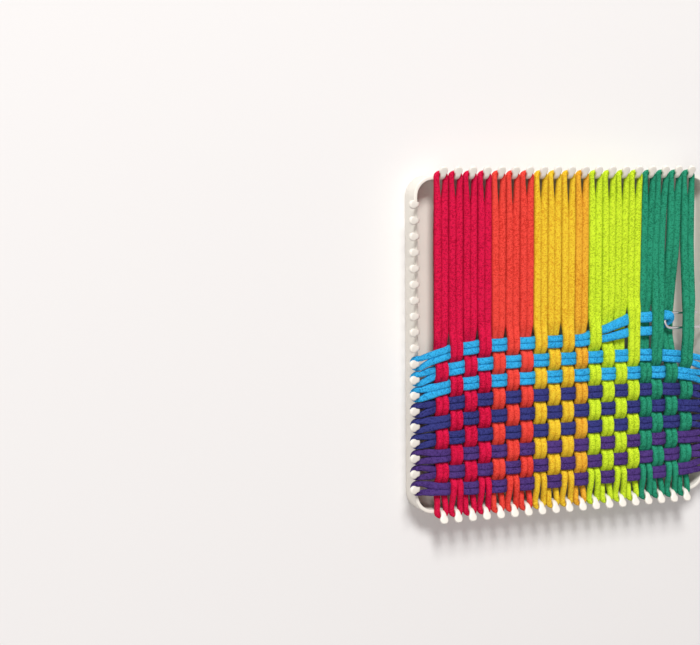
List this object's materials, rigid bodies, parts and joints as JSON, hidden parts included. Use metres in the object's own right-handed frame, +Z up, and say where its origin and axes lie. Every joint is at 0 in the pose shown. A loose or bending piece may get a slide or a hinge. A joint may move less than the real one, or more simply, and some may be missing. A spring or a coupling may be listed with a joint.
{
  "type": "potholder loom",
  "caption": "Small square metal frame with bent pegs on four sides, cotton loops stretched and woven on it, and a wire hook that draws the next row through.",
  "frame": {"origin": "on the plane that the loom rests on, under the middle of the front rail's flange, so the frame's centre is 76.5 mm behind it along +Y", "axes": "+X along the woven rows towards the hook's handle, +Y along the upright loops away from the woven edge, +Z up out of the work"},
  "size_m": [0.2615, 0.1776, 0.0187],
  "materials": {
    "coated_steel": "cream powder coat, semi-gloss",
    "steel_wire": "bright drawn",
    "cotton_crimson": "matt knitted cotton",
    "cotton_orange_red": "matt knitted cotton",
    "cotton_yellow": "matt knitted cotton",
    "cotton_amber": "matt knitted cotton",
    "cotton_lime": "matt knitted cotton",
    "cotton_teal": "matt knitted cotton",
    "cotton_light_blue": "matt knitted cotton",
    "cotton_navy": "matt knitted cotton",
    "cotton_purple": "matt knitted cotton"
  },
  "bodies": {
    "loom": {"loom_frame": "coated_steel", "warp_loop_01": "cotton_crimson", "warp_loop_02": "cotton_crimson", "warp_loop_03": "cotton_crimson", "warp_loop_04": "cotton_crimson", "warp_loop_05": "cotton_orange_red", "warp_loop_06": "cotton_orange_red", "warp_loop_07": "cotton_orange_red", "warp_loop_08": "cotton_yellow", "warp_loop_09": "cotton_yellow", "warp_loop_10": "cotton_yellow", "warp_loop_11": "cotton_amber", "warp_loop_12": "cotton_lime", "warp_loop_13": "cotton_lime", "warp_loop_14": "cotton_lime", "warp_loop_15": "cotton_lime", "warp_loop_16": "cotton_teal", "warp_loop_17": "cotton_teal", "warp_loop_18": "cotton_teal", "warp_loop_19": "cotton_teal", "weft_loop_1": "cotton_purple", "weft_loop_2": "cotton_purple", "weft_loop_3": "cotton_purple", "weft_loop_4": "cotton_navy", "weft_loop_5": "cotton_navy", "weft_loop_6": "cotton_navy", "weft_loop_7": "cotton_light_blue", "weft_loop_8": "cotton_light_blue", "weft_loop_9": "cotton_light_blue"},
    "hook": {"pull_hook": "steel_wire"}
  },
  "joints": [
    {"name": "hook_pull", "type": "slide", "parent": "loom", "child": "hook", "axis": [1, 0, 0], "range_m": [0, 0.02], "deforming": ["weft_loop_9"]}
  ]
}
